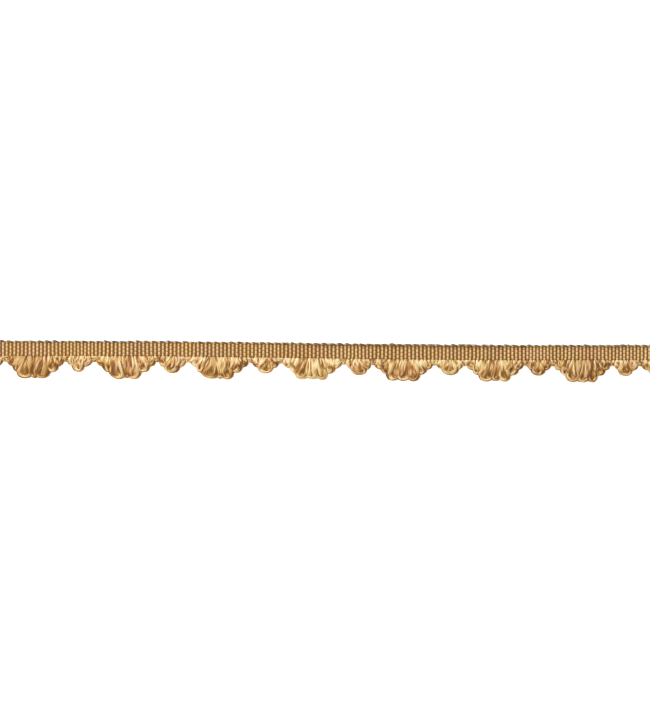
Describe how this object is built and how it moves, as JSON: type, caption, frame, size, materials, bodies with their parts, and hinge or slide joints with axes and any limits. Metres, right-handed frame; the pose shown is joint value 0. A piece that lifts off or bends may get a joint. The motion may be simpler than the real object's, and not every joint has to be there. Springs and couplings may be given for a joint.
{
  "type": "fan edge trim",
  "caption": "Flat woven trimming with a ribbed braid heading and silky floss loops hanging in large and small scalloped fans.",
  "frame": {"origin": "middle of the trim's footprint, on the surface it lies on, under its back", "axes": "+X along the trim, +Y across it from the loop tips towards the braid's top edge, +Z out of its face"},
  "size_m": [0.4704, 0.0278, 0.0023],
  "materials": {
    "braid": "tan floss ribs tied down by fine dark brown warp ends, soft sheen",
    "floss": "silky unspun floss mixing straw, gold and copper filaments"
  },
  "bodies": {
    "root": {"heading": "braid", "fan_small_1": "floss", "fan_large_1": "floss", "fan_small_2": "floss", "fan_large_2": "floss", "fan_small_3": "floss", "fan_large_3": "floss", "fan_small_4": "floss", "fan_large_4": "floss", "fan_small_5": "floss", "fan_large_5": "floss", "fan_small_6": "floss", "fan_large_6": "floss", "fan_small_7": "floss", "fan_large_7": "floss", "fan_small_8": "floss", "fan_large_8": "floss"}
  },
  "joints": []
}
